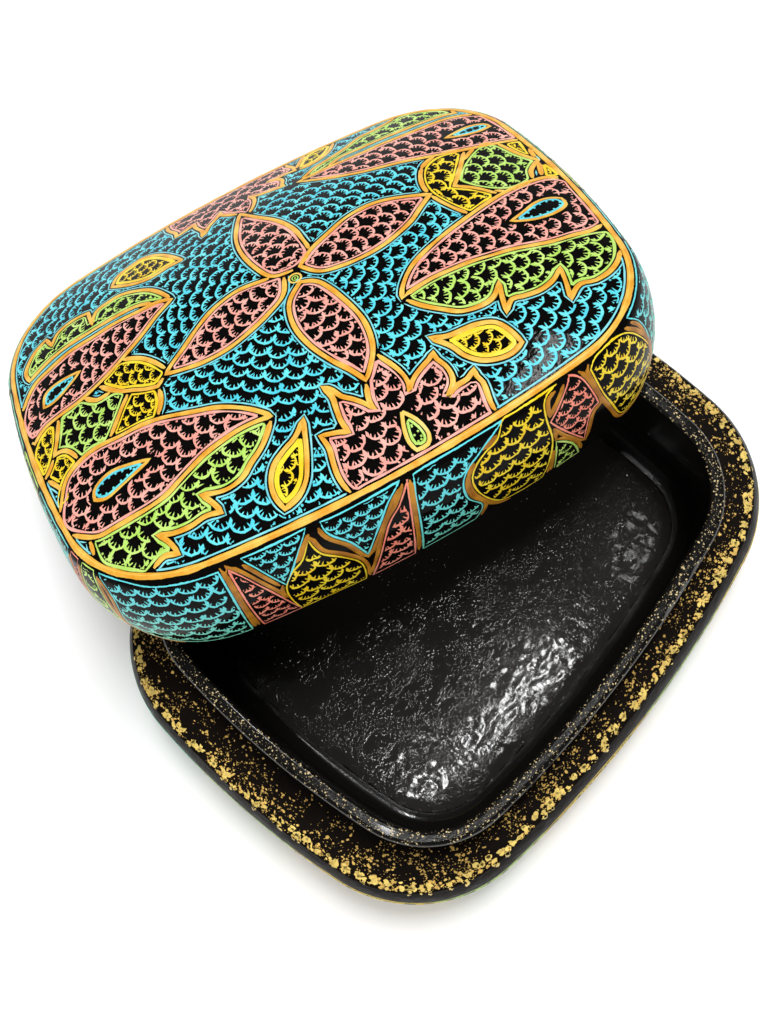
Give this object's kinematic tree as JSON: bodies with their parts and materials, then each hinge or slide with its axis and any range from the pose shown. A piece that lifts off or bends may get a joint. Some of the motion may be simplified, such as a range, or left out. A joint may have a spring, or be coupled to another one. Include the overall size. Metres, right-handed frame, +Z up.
{
  "type": "lidded papier mache box",
  "caption": "Rounded rectangular lacquered paper box with a raised inner collar and a loose domed lid set askew on the open base.",
  "frame": {"origin": "middle of the base's underside, on the table", "axes": "+X along the base's long side, +Y towards the side where the lid lies askew, +Z up out of the open base"},
  "size_m": [0.1791, 0.1873, 0.0686],
  "materials": {
    "lacquered_shell": "gloss lacquer over moulded paper pulp, with gold flakes on the seat",
    "lacquered_collar": "gloss black lacquer with fine gold flecks",
    "lacquered_lining": "gloss black lacquer over crinkled paper",
    "painted_shell": "gloss lacquer over hand painted leaves, petals and bands on black"
  },
  "bodies": {
    "base": {"base_shell": "lacquered_shell", "inner_collar": "lacquered_collar", "floor_lining": "lacquered_lining"},
    "lid": {"lid_shell": "painted_shell"}
  },
  "joints": [
    {"name": "lid_lift", "type": "slide", "parent": "base", "child": "lid", "axis": [0, 0, 1], "range_m": [0, 0.06]}
  ]
}
